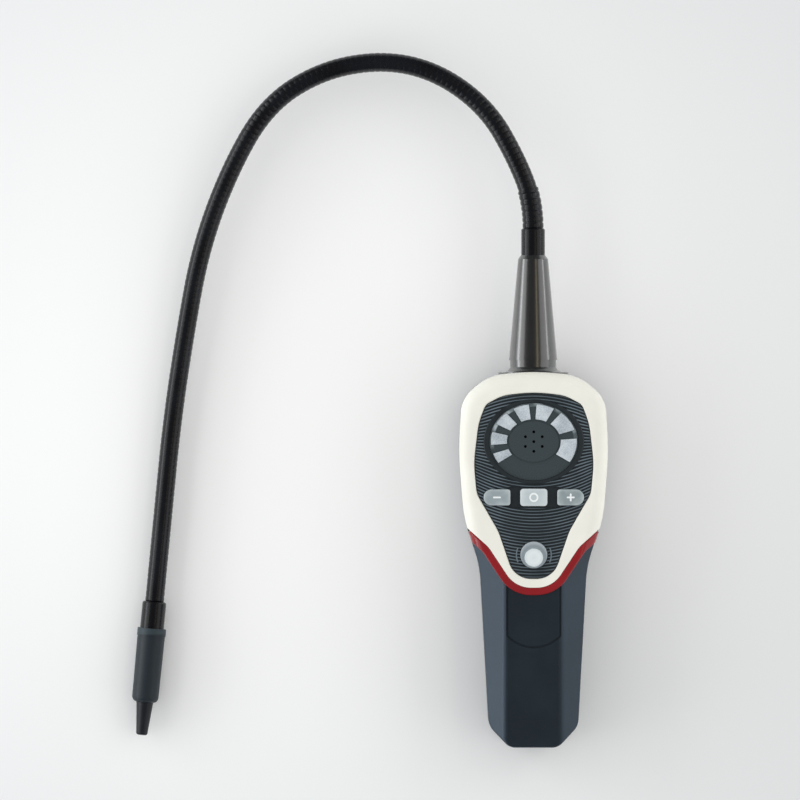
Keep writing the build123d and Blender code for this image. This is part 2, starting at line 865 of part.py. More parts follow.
def main():
    os.makedirs("parts", exist_ok=True)
    write("front_bezel", front_bezel())
    write("accent_band", accent_band())
    write("grip_front", grip_front_shell())
    write("rear_shell", rear_shell())
    write("battery_door", battery_door())
    write("housing_screws", housing_screws())
    write("control_panel", control_panel())
    write("display_cover", display_cover())
    write("light_guide", light_guide())
    low_key, reset, high_key, power = button_centres()
    write("sensitivity_low_button", button(key_shape(-1), low_key, button_rise))
    write("reset_button", button(reset_shape(), reset, button_rise))
    write("sensitivity_high_button", button(key_shape(1), high_key, button_rise))
    write("power_button", power_button())
    write("main_board", main_board())
    write("button_switches", button_switches())
    write("indicator_lamps", indicator_lamps())
    write("sounder", sounder())
    write("board_connector", board_connector())
    write("probe_lead", probe_lead())
    write("neck_collar", neck_collar())
    write("neck_cone", neck_cone())
    write("root_ferrule", root_ferrule())
    write("gooseneck", gooseneck())
    write("probe_ferrule", probe_ferrule())
    write("sensor_sleeve", sensor_sleeve())
    write("sensor_element", sensor_element())
    write("sensor_tip", sensor_tip())
    for column in (0, 1):
        for layer in (0, 1):
            write(f"battery_cell_{2 * column + layer + 1}", battery_cell(column, layer))
    write("battery_contacts", battery_contacts())


main()
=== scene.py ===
import bpy
import bmesh
from math import atan, cos, pi, radians, sin
from mathutils import Matrix, Vector


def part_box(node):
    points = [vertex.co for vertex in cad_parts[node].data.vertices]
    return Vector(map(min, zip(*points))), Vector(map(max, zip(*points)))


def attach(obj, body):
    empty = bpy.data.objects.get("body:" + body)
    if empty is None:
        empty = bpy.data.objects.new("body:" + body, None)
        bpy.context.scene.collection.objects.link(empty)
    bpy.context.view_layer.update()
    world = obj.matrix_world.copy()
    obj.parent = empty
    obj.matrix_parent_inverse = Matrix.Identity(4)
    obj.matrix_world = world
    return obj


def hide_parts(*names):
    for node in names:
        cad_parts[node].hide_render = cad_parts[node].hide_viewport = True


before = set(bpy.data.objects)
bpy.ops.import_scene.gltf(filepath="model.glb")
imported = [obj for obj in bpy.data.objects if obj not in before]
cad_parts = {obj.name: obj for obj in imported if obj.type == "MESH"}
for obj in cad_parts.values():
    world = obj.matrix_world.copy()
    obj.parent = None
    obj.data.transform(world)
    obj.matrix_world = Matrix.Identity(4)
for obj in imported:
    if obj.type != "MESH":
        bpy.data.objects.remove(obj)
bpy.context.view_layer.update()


# Camera
# The detector lies on its back, so the camera looks straight down on it, as the photograph
# looks straight at its front.
view_width = 0.364
view_centre = Vector((-0.06065, 0.0397, 0.030))
camera_height = 4.0
sensor_width = 36.0

camera_data = bpy.data.cameras.new("camera")
camera_data.sensor_width = sensor_width
camera_data.lens = sensor_width * camera_height / view_width
camera = bpy.data.objects.new("camera", camera_data)
camera.location = view_centre + Vector((0, 0, camera_height))
bpy.context.scene.collection.objects.link(camera)
bpy.context.scene.camera = camera
bpy.context.scene.view_settings.view_transform = "Standard"


# Pale table top
# A matt white sheet whose colour fades to a light grey away from the middle: the pale middle is a painted pool of
# light.
# It is lit and shaded like any surface, so it keeps the detector's shadow.
table_half = 4.0
table_pale_radius = 0.34


def colour(red, green, blue):
    """A shader colour from the 0 to 255 numbers of a colour card."""
    card = [channel / 255 for channel in (red, green, blue)]
    linear = [c / 12.92 if c <= 0.04045 else ((c + 0.055) / 1.055) ** 2.4 for c in card]
    return (*linear, 1.0)


def new_finish(name):
    """A new material, its node tree and its main shader."""
    material = bpy.data.materials.new(name)
    material.use_nodes = True
    tree = material.node_tree
    return material, tree, tree.nodes["Principled BSDF"]


def placed(tree, centre=(0, 0, 0), spread=(1, 1, 1)):
    """Object coordinates counted from centre, each axis multiplied by its spread."""
    place = tree.nodes.new("ShaderNodeTexCoord")
    moved = tree.nodes.new("ShaderNodeMapping")
    moved.inputs["Location"].default_value = [-c * s for c, s in zip(centre, spread)]
    moved.inputs["Scale"].default_value = spread
    tree.links.new(place.outputs["Object"], moved.inputs["Vector"])
    return moved.outputs["Vector"]


def worked(tree, operation, first, second=0.0):
    """The result of a sum on two values, each a socket or a number."""
    node = tree.nodes.new("ShaderNodeMath")
    node.operation = operation
    for socket, value in zip(node.inputs, (first, second)):
        if isinstance(value, (int, float)):
            socket.default_value = value
        else:
            tree.links.new(value, socket)
    return node.outputs[0]


def stretched(tree, value, low, high, new_low=0.0, new_high=1.0, smooth=False):
    """Value, moved from the range low to high into the range new_low to new_high."""
    node = tree.nodes.new("ShaderNodeMapRange")
    node.interpolation_type = "SMOOTHSTEP" if smooth else "LINEAR"
    for name, number in (("From Min", low), ("From Max", high), ("To Min", new_low), ("To Max", new_high)):
        node.inputs[name].default_value = number
    tree.links.new(value, node.inputs["Value"])
    return node.outputs["Result"]


def shaded(tree, value, *stops):
    """A colour that runs through (value, colour) stops."""
    ramp = tree.nodes.new("ShaderNodeValToRGB")
    elements = ramp.color_ramp.elements
    while len(elements) < len(stops):
        elements.new(0.5)
    for element, (position, tint) in zip(elements, stops):
        element.position = position
        element.color = tint
    tree.links.new(value, ramp.inputs["Fac"])
    return ramp.outputs["Color"]


def length_of(tree, place):
    """The distance of a place from nought."""
    node = tree.nodes.new("ShaderNodeVectorMath")
    node.operation = "LENGTH"
    tree.links.new(place, node.inputs[0])
    return node.outputs["Value"]


sheet_mesh = bpy.data.meshes.new("table_top")
sheet_shape = bmesh.new()
bmesh.ops.create_grid(sheet_shape, x_segments=1, y_segments=1, size=table_half)
sheet_shape.to_mesh(sheet_mesh)
sheet_shape.free()
table_top = bpy.data.objects.new("table_top", sheet_mesh)
bpy.context.scene.collection.objects.link(table_top)
table_finish, table_tree, table_shader = new_finish("table_paper")
# Painted pool of light: the colour is palest round the middle and greyer further out.
from_middle = length_of(table_tree, placed(table_tree, centre=(-0.09, 0.03, 0)))
light_pool_fade = stretched(table_tree, from_middle, 0.05, table_pale_radius, smooth=True)
table_colour = shaded(table_tree, light_pool_fade, (0.0, colour(251, 252, 252)), (1.0, colour(226, 228, 230)))
table_tree.links.new(table_colour, table_shader.inputs["Base Color"])
table_shader.inputs["Roughness"].default_value = 0.9
table_shader.inputs["Specular IOR Level"].default_value = 0.1
sheet_mesh.materials.append(table_finish)


# Studio lights
# A long soft box stands low on each side with a narrow strip lamp below it, and a weak warm
# card hangs over the right shoulder. They light the front evenly and streak the glossy neck.
light_target = Vector((0.0, 0.02, 0.02))


def soft_box(name, place, size, power, tint):
    """A rectangular lamp that faces the detector, its long side along the detector."""
    lamp = bpy.data.lights.new(name, "AREA")
    lamp.shape = "RECTANGLE"
    lamp.size, lamp.size_y = size
    lamp.energy = power
    lamp.color = tint
    box = bpy.data.objects.new(name, lamp)
    facing = Vector(place) - light_target
    across = Vector((0, 1, 0)).cross(facing).normalized()
    along = facing.cross(across).normalized()
    turn = Matrix((across, along, facing.normalized())).transposed()
    box.matrix_world = Matrix.Translation(place) @ turn.to_4x4()
    bpy.context.scene.collection.objects.link(box)


soft_box("left_box", (-0.95, 0.08, 0.42), (0.80, 1.5), 4.6, (1.0, 1.0, 1.0))
soft_box("left_strip", (-0.95, 0.08, 0.24), (0.20, 1.3), 2.4, (0.95, 0.98, 1.0))
soft_box("right_box", (1.05, 0.08, 0.56), (1.10, 1.9), 5.6, (1.0, 1.0, 1.0))
soft_box("right_strip", (1.05, 0.50, 0.26), (0.14, 0.8), 1.0, (1.0, 1.0, 1.0))
soft_box("warm_card", (0.42, 0.10, 1.15), (0.16, 0.9), 0.45, (1.0, 0.88, 0.55))

studio = bpy.context.scene.world or bpy.data.worlds.new("studio")
bpy.context.scene.world = studio
studio.use_nodes = True
air = studio.node_tree
rays = air.nodes.new("ShaderNodeLightPath")


def room_light(tint, strength):
    """An even light from all round."""
    light = air.nodes.new("ShaderNodeBackground")
    light.inputs["Color"].default_value = tint
    light.inputs["Strength"].default_value = strength
    return light.outputs["Background"]


def chosen(ray, otherwise, then):
    """One light for that kind of ray, and the other light for the rest."""
    choice = air.nodes.new("ShaderNodeMixShader")
    air.links.new(rays.outputs[ray], choice.inputs["Fac"])
    air.links.new(otherwise, choice.inputs[1])
    air.links.new(then, choice.inputs[2])
    return choice.outputs["Shader"]


fill = room_light(colour(255, 255, 255), 0.66)
dim_ceiling = room_light(colour(255, 255, 255), 0.09)
pale_wall = room_light(colour(236, 237, 238), 1.0)
room = chosen("Is Camera Ray", chosen("Is Glossy Ray", fill, dim_ceiling), pale_wall)
air.links.new(room, air.nodes["World Output"].inputs["Surface"])


# Gooseneck
# A steel coil that keeps the bend it is given, in tight black sleeving that shows each turn
# of the coil as a low rib. It is pressed into the neck at one end and the probe at the other.
tube_radius = 0.00435
gooseneck_root = Vector((0.0, 0.11795, 0.023))
gooseneck_route = (
    (0.0, 0.0, 0.0230),
    (0.0, 0.0120, 0.0230),
    (-0.0075, 0.0315, 0.0226),
    (-0.0205, 0.0544, 0.0216),
    (-0.0427, 0.0711, 0.0202),
    (-0.0677, 0.0772, 0.0184),
    (-0.0966, 0.0723, 0.0164),
    (-0.1218, 0.0562, 0.0142),
    (-0.1390, 0.0260, 0.0120),
    (-0.1520, -0.0095, 0.0098),
    (-0.1590, -0.0480, 0.0080),
    (-0.1650, -0.0880, 0.0069),
    (-0.1690, -0.1290, 0.00655),
    (-0.1730, -0.1705, 0.00655),
)
coil_pitch = 0.0027
rib_depth = 0.00015
route_steps = 90
tube_roundness = 5


def gooseneck_curve():
    """The gooseneck's centre line as one open smooth curve."""
    curve = bpy.data.curves.new("gooseneck_line", "CURVE")
    curve.dimensions = "3D"
    curve.resolution_u = route_steps
    line = curve.splines.new("NURBS")
    line.points.add(len(gooseneck_route) - 1)
    for point, (x, y, z) in zip(line.points, gooseneck_route):
        point.co = (gooseneck_root.x + x, gooseneck_root.y + y, z, 1.0)
    line.order_u = 3
    line.use_endpoint_u = True
    return curve


def distances_along(points):
    """How far along the line each point is, in metres."""
    total = 0.0
    distances = [0.0]
    for here, there in zip(points, points[1:]):
        total += (there - here).length
        distances.append(total)
    return distances


def ribbed_tube(name, curve, radius, start, stop, depth):
    """A tube round the curve from start to stop along it, with a groove between the coil's turns."""
    holder = bpy.data.objects.new(name + "_line", curve)
    curve.bevel_depth = 0.0
    points = [vertex.co.copy() for vertex in bpy.data.meshes.new_from_object(holder).vertices]
    curve.bevel_depth = radius
    curve.bevel_resolution = tube_roundness
    tube = bpy.data.meshes.new_from_object(holder)
    tube.name = name
    along = distances_along(points)
    sides = len(tube.vertices) // len(points)
    rings = []
    for vertex in tube.vertices:
        ring = vertex.index // sides
        rings.append(ring)
        groove = (1 - abs(sin(pi * along[ring] / coil_pitch))) ** 2
        inward = points[ring] - vertex.co
        vertex.co += inward * (groove * depth / radius)
    shape = bmesh.new()
    shape.from_mesh(tube)
    shape.verts.ensure_lookup_table()
    outside = [v for v in shape.verts if not start <= along[rings[v.index]] <= stop]
    bmesh.ops.delete(shape, geom=outside, context="VERTS")
    open_edges = [edge for edge in shape.edges if edge.is_boundary]
    bmesh.ops.holes_fill(shape, edges=open_edges)
    bmesh.ops.recalc_face_normals(shape, faces=shape.faces)
    for face in shape.faces:
        face.smooth = len(face.verts) < 5
    shape.to_mesh(tube)
    shape.free()
    bpy.data.objects.remove(holder)
    piece = bpy.data.objects.new(name, tube)
    bpy.context.scene.collection.objects.link(piece)
    return piece, points


def clouded(tree, place, patch, detail=2.0):
    """Cloudy values around a half, in patches about that many metres across."""
    noise = tree.nodes.new("ShaderNodeTexNoise")
    noise.inputs["Scale"].default_value = 1 / patch
    noise.inputs["Detail"].default_value = detail
    tree.links.new(place, noise.inputs["Vector"])
    return noise.outputs["Fac"]


def raised(tree, shader, height, depth):
    """Gives the shader a relief from height, 0 to 1, that is depth metres deep."""
    bump = tree.nodes.new("ShaderNodeBump")
    bump.inputs["Strength"].default_value = 1.0
    bump.inputs["Distance"].default_value = depth
    tree.links.new(height, bump.inputs["Height"])
    tree.links.new(bump.outputs["Normal"], shader.inputs["Normal"])


def surfaced(name, dark, light, gloss, grain, depth, shine=0.5):
    """A finish in two close shades, with a fine grain in its gloss and its relief."""
    material, tree, shader = new_finish(name)
    place = placed(tree)
    tint = shaded(tree, clouded(tree, place, 0.02), (0.35, dark), (0.65, light))
    tree.links.new(tint, shader.inputs["Base Color"])
    speck = clouded(tree, place, grain, 3.0)
    tree.links.new(stretched(tree, speck, 0.3, 0.7, *gloss), shader.inputs["Roughness"])
    raised(tree, shader, speck, depth)
    shader.inputs["Specular IOR Level"].default_value = shine
    return material, tree, shader


sleeving, sleeving_tree, sleeving_shader = surfaced(
    "black_sleeving", colour(13, 14, 18), colour(20, 22, 27), (0.22, 0.30), 0.0009, 0.000004
)
sleeving_shader.inputs["IOR"].default_value = 1.42
gooseneck_line = gooseneck_curve()
gooseneck, centre_line = ribbed_tube(
    "gooseneck_tube", gooseneck_line, tube_radius, 0.0, 1.0, rib_depth
)
gooseneck.data.materials.append(sleeving)
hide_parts("gooseneck")
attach(gooseneck, "housing")


# Second sleeve at the gooseneck's root
# A short extra layer of the same sleeving, shrunk over the first turns where the bend starts.
# Its cut end stands a little proud of the tube.
root_sleeve_radius = 0.0048
root_sleeve_length = 0.0178
root_sleeve_groove = 0.00034
root_sleeve, _ = ribbed_tube(
    "root_sleeve", gooseneck_line, root_sleeve_radius, 0.0, root_sleeve_length, root_sleeve_groove
)
root_sleeve.data.materials.append(sleeving)
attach(root_sleeve, "housing")


# Rear shell and battery door
# The back half of the housing and the sliding door in its grip are injection moulded in one
# slate plastic, with a fine grain from the mould.


def dress(material, *names):
    """Puts a finish on CAD nodes."""
    for name in names:
        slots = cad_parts[name].data.materials
        if not slots:
            slots.append(material)
        for index in range(len(slots)):
            slots[index] = material


slate, slate_tree, slate_shader = surfaced(
    "slate_plastic", colour(25, 33, 38), colour(29, 39, 45), (0.38, 0.48), 0.0007, 0.00002, shine=0.85
)
slate_shader.inputs["Specular Tint"].default_value = colour(206, 228, 255)
dress(slate, "rear_shell", "battery_door")


# Cells and their contacts
# Four AA cells in printed metal jackets sit two by two between sprung steel contacts.
jacket, jacket_tree, jacket_shader = surfaced(
    "cell_jacket", colour(40, 42, 46), colour(58, 60, 64), (0.25, 0.35), 0.002, 0.00001
)
dress(jacket, "battery_cell_1", "battery_cell_2", "battery_cell_3", "battery_cell_4")


def brushed_steel(name, light, gloss, pitch):
    """Bright metal with fine marks that run along Y."""
    material, tree, shader = new_finish(name)
    marks = clouded(tree, placed(tree, spread=(1.0, 0.08, 1.0)), pitch, 4.0)
    tree.links.new(shaded(tree, marks, (0.3, colour(150, 152, 155)), (0.7, light)), shader.inputs["Base Color"])
    tree.links.new(stretched(tree, marks, 0.3, 0.7, *gloss), shader.inputs["Roughness"])
    raised(tree, shader, marks, 0.00001)
    shader.inputs["Metallic"].default_value = 1.0
    return material


steel = brushed_steel("bare_metal", colour(205, 207, 210), (0.22, 0.40), 0.0005)
dress(steel, "battery_contacts", "sensor_element")


# Housing screws
# Four zinc-plated steel screws clamp the two halves together from the back. A cross recess is
# punched in each head, with painted shade that darkens it towards its floor.
screw_head_radius = 0.00275
screw_head_recess = 0.0008
lower_screw_across = 0.0186
recess_long = 0.0034
recess_wide = 0.0008
recess_depth = 0.0011


def armed_square(directions, long, wide, thick):
    """A flat square with an arm in each direction, long from end to end and rounded there."""
    shape = bmesh.new()
    bmesh.ops.create_cube(shape, size=wide)
    bmesh.ops.scale(shape, verts=shape.verts, vec=(1, 1, thick / wide))
    for direction in directions:
        away = Vector(direction)
        side = min(shape.faces, key=lambda face: (face.calc_center_median() - away * wide / 2).length)
        grown = bmesh.ops.extrude_face_region(shape, geom=[side])["geom"]
        moved = [part for part in grown if isinstance(part, bmesh.types.BMVert)]
        bmesh.ops.translate(shape, verts=moved, vec=away * (long - wide) / 2)
        bmesh.ops.delete(shape, geom=[face for face in shape.faces if face == side], context="FACES_ONLY")
    ends = [
        edge for edge in shape.edges
        if abs(edge.verts[0].co.z - edge.verts[1].co.z) > 0 and edge.verts[0].co.xy.length > 0.4 * long
    ]
    bmesh.ops.bevel(
        shape, geom=ends, offset=0.45 * wide, segments=5, profile=0.5, affect="EDGES", material=-1
    )
    bmesh.ops.recalc_face_normals(shape, faces=shape.faces)
    return shape


left_and_right = [(-1, 0, 0), (1, 0, 0)]
up_and_down = [(0, -1, 0), (0, 1, 0)]


def cut_out(mesh, cutter_mesh):
    """The mesh with the cutter's shape taken out of it."""
    holder = bpy.data.objects.new("cut_holder", mesh)
    cutter = bpy.data.objects.new("cutter", cutter_mesh)
    for piece in (holder, cutter):
        bpy.context.scene.collection.objects.link(piece)
    cut = holder.modifiers.new("cut", "BOOLEAN")
    cut.operation = "DIFFERENCE"
    cut.object = cutter
    graph = bpy.context.evaluated_depsgraph_get()
    result = bpy.data.meshes.new_from_object(holder.evaluated_get(graph))
    for piece in (holder, cutter):
        bpy.data.objects.remove(piece)
    return result


def mesh_of(shape, name):
    """The finished shape as a mesh with that name."""
    mesh = bpy.data.meshes.new(name)
    shape.to_mesh(mesh)
    shape.free()
    return mesh


screws_low, screws_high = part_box("housing_screws")
upper_screw = (screws_high.x - screw_head_radius, screws_high.y - screw_head_radius)
lower_screw = (lower_screw_across, screws_low.y + screw_head_radius)
crosses = bmesh.new()
for side in (-1, 1):
    for across, up in (upper_screw, lower_screw):
        cross = armed_square(left_and_right + up_and_down, recess_long, recess_wide, 2 * recess_depth)
        bmesh.ops.translate(cross, verts=cross.verts, vec=(side * across, up, screw_head_recess))
        crosses.from_mesh(mesh_of(cross, "cross"))
plain_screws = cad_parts["housing_screws"].data.copy()
plain_screws.transform(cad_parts["housing_screws"].matrix_world)
screw_mesh = cut_out(plain_screws, mesh_of(crosses, "crosses"))
screw_mesh.name = "recessed_screws"
screw_mesh.materials.clear()
screw_steel, screw_tree, screw_shader = new_finish("screw_steel")
screw_parts = screw_tree.nodes.new("ShaderNodeSeparateXYZ")
screw_tree.links.new(placed(screw_tree), screw_parts.inputs["Vector"])
# Painted shade: the steel's colour darkens from just below the head's face down to the recess's floor.
sunk = stretched(
    screw_tree, screw_parts.outputs["Z"], screw_head_recess + 0.0001, screw_head_recess + 0.0005
)
screw_steel_and_shade = shaded(screw_tree, sunk, (0.0, colour(196, 198, 202)), (1.0, colour(34, 35, 37)))
screw_tree.links.new(screw_steel_and_shade, screw_shader.inputs["Base Color"])
screw_speck = clouded(screw_tree, placed(screw_tree), 0.0005, 3.0)
screw_tree.links.new(stretched(screw_tree, screw_speck, 0.3, 0.7, 0.28, 0.42), screw_shader.inputs["Roughness"])
raised(screw_tree, screw_shader, screw_speck, 0.00001)
screw_shader.inputs["Metallic"].default_value = 1.0
screw_mesh.materials.append(screw_steel)
screws = bpy.data.objects.new("recessed_screws", screw_mesh)
bpy.context.scene.collection.objects.link(screws)
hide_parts("housing_screws")
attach(screws, "housing")


# Main board and the parts soldered to it
# A green glass-fibre board carries the key switches, the lamps behind the display, the
# sounder and the socket that the probe's lead plugs into.
board, board_tree, board_shader = surfaced(
    "board", colour(18, 74, 44), colour(26, 92, 54), (0.30, 0.45), 0.0012, 0.00002
)
dress(board, "main_board")
component, component_tree, component_shader = surfaced(
    "components", colour(26, 27, 28), colour(38, 39, 41), (0.40, 0.55), 0.0006, 0.00002
)
dress(component, "button_switches", "sounder", "board_connector", "probe_lead")
lamp_glass, lamp_tree, lamp_shader = surfaced(
    "lamp", colour(222, 220, 200), colour(240, 238, 222), (0.12, 0.20), 0.0008, 0.00001
)
dress(lamp_glass, "indicator_lamps")


# Light guide
# One clear moulding with a misted face behind the display. Its seven raised wedges fill the
# windows of the display and grow from the lowest reading to the highest.
guide, guide_tree, guide_shader = new_finish("light_guide")
guide_mist = clouded(guide_tree, placed(guide_tree), 0.0006, 4.0)
guide_cloud = clouded(guide_tree, placed(guide_tree), 0.007, 1.0)
guide_mix = worked(guide_tree, "ADD", worked(guide_tree, "MULTIPLY", guide_mist, 0.5), worked(guide_tree, "MULTIPLY", guide_cloud, 0.5))
guide_tint = shaded(guide_tree, guide_mix, (0.36, colour(158, 170, 178)), (0.64, colour(208, 217, 224)))
guide_tree.links.new(guide_tint, guide_shader.inputs["Base Color"])
guide_tree.links.new(stretched(guide_tree, guide_mist, 0.3, 0.7, 0.28, 0.42), guide_shader.inputs["Roughness"])
raised(guide_tree, guide_shader, guide_mist, 0.00004)
dress(guide, "light_guide")


# Display cover
# A smooth dark moulding with a raised round middle, pierced for the sounder, and seven
# windows round it. It is held behind the control panel by its rim.
display_low, display_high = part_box("display_cover")
display_middle = (display_low + display_high) / 2
opening_half = Vector((0.0204, 0.0178, 0.0))
glint_inner = 0.885
glint_outer = 0.965
glint_floor = 0.05

display, display_tree, display_shader = surfaced(
    "display", colour(48, 56, 60), colour(54, 63, 67), (0.24, 0.32), 0.0005, 0.000004
)
# Painted highlight: a thin paler ring, clouded and fading out towards the bottom, just inside the edge of the
# display's upper part.
window_place = placed(display_tree, display_middle, (1 / opening_half.x, 1 / opening_half.y, 0))
window_parts = display_tree.nodes.new("ShaderNodeSeparateXYZ")
display_tree.links.new(window_place, window_parts.inputs["Vector"])
window_reach = length_of(display_tree, window_place)
past_inner = stretched(display_tree, window_reach, glint_inner, glint_inner + 0.02)
before_outer = stretched(display_tree, window_reach, glint_outer, glint_outer + 0.015, 1.0, 0.0)
above_floor = stretched(display_tree, window_parts.outputs["Y"], -0.25, glint_floor)
glint_ring = worked(display_tree, "MULTIPLY", past_inner, before_outer)
glint_ring = worked(display_tree, "MULTIPLY", glint_ring, above_floor)
glint_cloud = clouded(display_tree, placed(display_tree), 0.006, 1.0)
glint = worked(
    display_tree, "MULTIPLY", glint_ring, stretched(display_tree, glint_cloud, 0.42, 0.62, 0.15, 1.0)
)
display_tint = shaded(
    display_tree, glint, (0.0, colour(60, 70, 74)), (0.6, colour(140, 152, 158)), (1.0, colour(178, 188, 194))
)
display_tree.links.new(display_tint, display_shader.inputs["Base Color"])
dress(display, "display_cover")


# Control panel
# A dark moulded insert. Fine ribs cover its flat face: they arch over the display, lie level
# beside it and sag below it, and stop at the smooth strip between the keys.
panel_front = 0.0452
lens_drop = 0.0012
power_low, power_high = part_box("power_button")
lens_middle = (power_low + power_high) / 2 - Vector((0, lens_drop, 0))
rib_pitch = 0.00142
rib_bend = 1400.0
rib_level_reach = 0.023
rib_sag_limit = 0.0135
rib_arch_limit = 0.0125
rib_height = 0.00026
rib_top_half = 0.16
rib_foot_half = 0.34
rib_lift = 0.00002
rib_hold = 0.0001
rib_step = 0.0012


def rib_waves(tree):
    """Values from 0 in a groove to 1 on a rib, for ribs that bend with their distance from the display."""
    parts = tree.nodes.new("ShaderNodeSeparateXYZ")
    tree.links.new(placed(tree, centre=display_middle), parts.inputs["Vector"])
    across, up = parts.outputs["X"], parts.outputs["Y"]
    held = worked(tree, "MINIMUM", worked(tree, "MAXIMUM", up, -rib_sag_limit), rib_arch_limit)
    inside = worked(tree, "SUBTRACT", worked(tree, "MULTIPLY", across, across), rib_level_reach**2)
    bend = worked(tree, "MULTIPLY", inside, rib_bend / 2)
    level = worked(tree, "ADD", up, worked(tree, "MULTIPLY", held, bend))
    wave = worked(tree, "SINE", worked(tree, "MULTIPLY", level, 2 * pi / rib_pitch))
    return stretched(tree, wave, -1.0, 1.0)


def on_flat_face(tree):
    """1 on the panel's ribbed face, and 0 on its ridges and in its strip."""
    parts = tree.nodes.new("ShaderNodeSeparateXYZ")
    tree.links.new(placed(tree, centre=(0, 0, panel_front)), parts.inputs["Vector"])
    off_face = worked(tree, "ABSOLUTE", parts.outputs["Z"])
    return stretched(tree, off_face, 0.00028, 0.00031, 1.0, 0.0)


def towards_sides(tree):
    """A value that grows from the panel's middle line to its sides, where the ribs catch more light and their
    painted highlights grow stronger.
    """
    parts = tree.nodes.new("ShaderNodeSeparateXYZ")
    tree.links.new(placed(tree), parts.inputs["Vector"])
    return stretched(tree, worked(tree, "ABSOLUTE", parts.outputs["X"]), 0.004, 0.022, 0.8, 1.0)


def on_crescent_highlights(tree):
    """1 on the two raised lines beside the power key, where a highlight is painted."""
    reach = length_of(tree, placed(tree, lens_middle, (1, 1, 0)))
    parts = tree.nodes.new("ShaderNodeSeparateXYZ")
    tree.links.new(placed(tree, centre=(0, 0, panel_front)), parts.inputs["Vector"])
    above_face = stretched(tree, parts.outputs["Z"], 0.00030, 0.00033)
    return worked(tree, "MULTIPLY", above_face, stretched(tree, reach, 0.0096, 0.0100, 1.0, 0.0))


# Painted light and shade: the ribs are paler on their crests than in their grooves, more so towards the sides, and
# the two crescents beside the power key get a painted highlight.
panel, panel_tree, panel_shader = new_finish("panel")
ribs = worked(panel_tree, "MULTIPLY", rib_waves(panel_tree), on_flat_face(panel_tree))
panel_cloud = clouded(panel_tree, placed(panel_tree), 0.012)
rib_light = worked(panel_tree, "MULTIPLY", ribs, towards_sides(panel_tree))
rib_light = worked(panel_tree, "ADD", rib_light, stretched(panel_tree, panel_cloud, 0.3, 0.7, -0.1, 0.1))
rib_light = worked(panel_tree, "ADD", rib_light, on_crescent_highlights(panel_tree))
off_face_tint = colour(38, 46, 51)
rib_painted_light = shaded(
    panel_tree, rib_light, (0.0, off_face_tint), (0.15, colour(26, 32, 36)),
    (0.55, colour(50, 60, 66)), (0.95, colour(104, 118, 127)),
)
panel_tree.links.new(rib_painted_light, panel_shader.inputs["Base Color"])
panel_shader.inputs["Specular IOR Level"].default_value = 0.4
panel_speck = clouded(panel_tree, placed(panel_tree), 0.0004, 3.0)
panel_tree.links.new(stretched(panel_tree, panel_speck, 0.3, 0.7, 0.34, 0.48), panel_shader.inputs["Roughness"])
raised(panel_tree, panel_shader, panel_speck, 0.00001)
dress(panel, "control_panel")


def level_at(x, up):
    """Which rib line a place on the panel is on, as its height where the ribs lie level."""
    bend = (x**2 - rib_level_reach**2) * rib_bend / 2
    return up + max(-rib_sag_limit, min(rib_arch_limit, up)) * bend


def height_of(x, level):
    """Where a rib line runs on the panel, the other way round."""
    bend = (x**2 - rib_level_reach**2) * rib_bend / 2
    if level > rib_arch_limit * (1 + bend):
        return level - rib_arch_limit * bend
    if level < -rib_sag_limit * (1 + bend):
        return level + rib_sag_limit * bend
    return level / (1 + bend)


def flat_face(node, height):
    """A copy of the node's flat upward face at that height."""
    shape = bmesh.new()
    shape.from_mesh(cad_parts[node].data)
    shape.transform(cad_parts[node].matrix_world)
    shape.normal_update()
    others = [
        face for face in shape.faces
        if face.normal.z < 0.999 or abs(face.calc_center_median().z - height) > rib_lift
    ]
    bmesh.ops.delete(shape, geom=others, context="FACES")
    bmesh.ops.remove_doubles(shape, verts=shape.verts, dist=0.000001)
    return shape


def sliced(shape, places, normal):
    """Cuts the shape's faces along planes through those places."""
    for place in places:
        everything = list(shape.verts) + list(shape.edges) + list(shape.faces)
        bmesh.ops.bisect_plane(shape, geom=everything, dist=0.0000001, plane_co=place, plane_no=normal)


def rib_profile(level):
    """The rib's height there: flat on top, sloping at the sides, and nought in the groove."""
    from_crest = abs((level / rib_pitch - 0.25 + 0.5) % 1 - 0.5)
    slope = (rib_foot_half - from_crest) / (rib_foot_half - rib_top_half)
    return rib_height * max(0.0, min(1.0, slope))


rib_sheet = flat_face("control_panel", panel_front)
panel_low, panel_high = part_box("control_panel")
across_steps = int((panel_high.x - panel_low.x) / rib_step)
sliced(rib_sheet, [(panel_low.x + step * rib_step, 0, 0) for step in range(1, across_steps + 1)], (1, 0, 0))
for vertex in rib_sheet.verts:
    vertex.co.y = level_at(vertex.co.x, vertex.co.y - display_middle.y)
levels = [vertex.co.y for vertex in rib_sheet.verts]
first_rib = int(min(levels) / rib_pitch) - 1
last_rib = int(max(levels) / rib_pitch) + 1
rib_lines = [
    (0, (rib + 0.25 + part) * rib_pitch, 0)
    for rib in range(first_rib, last_rib + 1)
    for part in (-rib_foot_half, -rib_top_half, rib_top_half, rib_foot_half)
]
sliced(rib_sheet, rib_lines, (0, 1, 0))
bmesh.ops.dissolve_degenerate(rib_sheet, dist=0.0000005, edges=rib_sheet.edges)
grown = bmesh.ops.extrude_face_region(rib_sheet, geom=list(rib_sheet.faces))["geom"]
tops = {part for part in grown if isinstance(part, bmesh.types.BMVert)}
for vertex in rib_sheet.verts:
    level = vertex.co.y
    vertex.co.z = panel_front + (rib_lift + rib_profile(level) if vertex in tops else -rib_hold)
    vertex.co.y = display_middle.y + height_of(vertex.co.x, level)
bmesh.ops.recalc_face_normals(rib_sheet, faces=rib_sheet.faces)
rib_mesh = mesh_of(rib_sheet, "panel_ribs")
rib_mesh.materials.append(panel)
panel_ribs = bpy.data.objects.new("panel_ribs", rib_mesh)
bpy.context.scene.collection.objects.link(panel_ribs)
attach(panel_ribs, "housing")
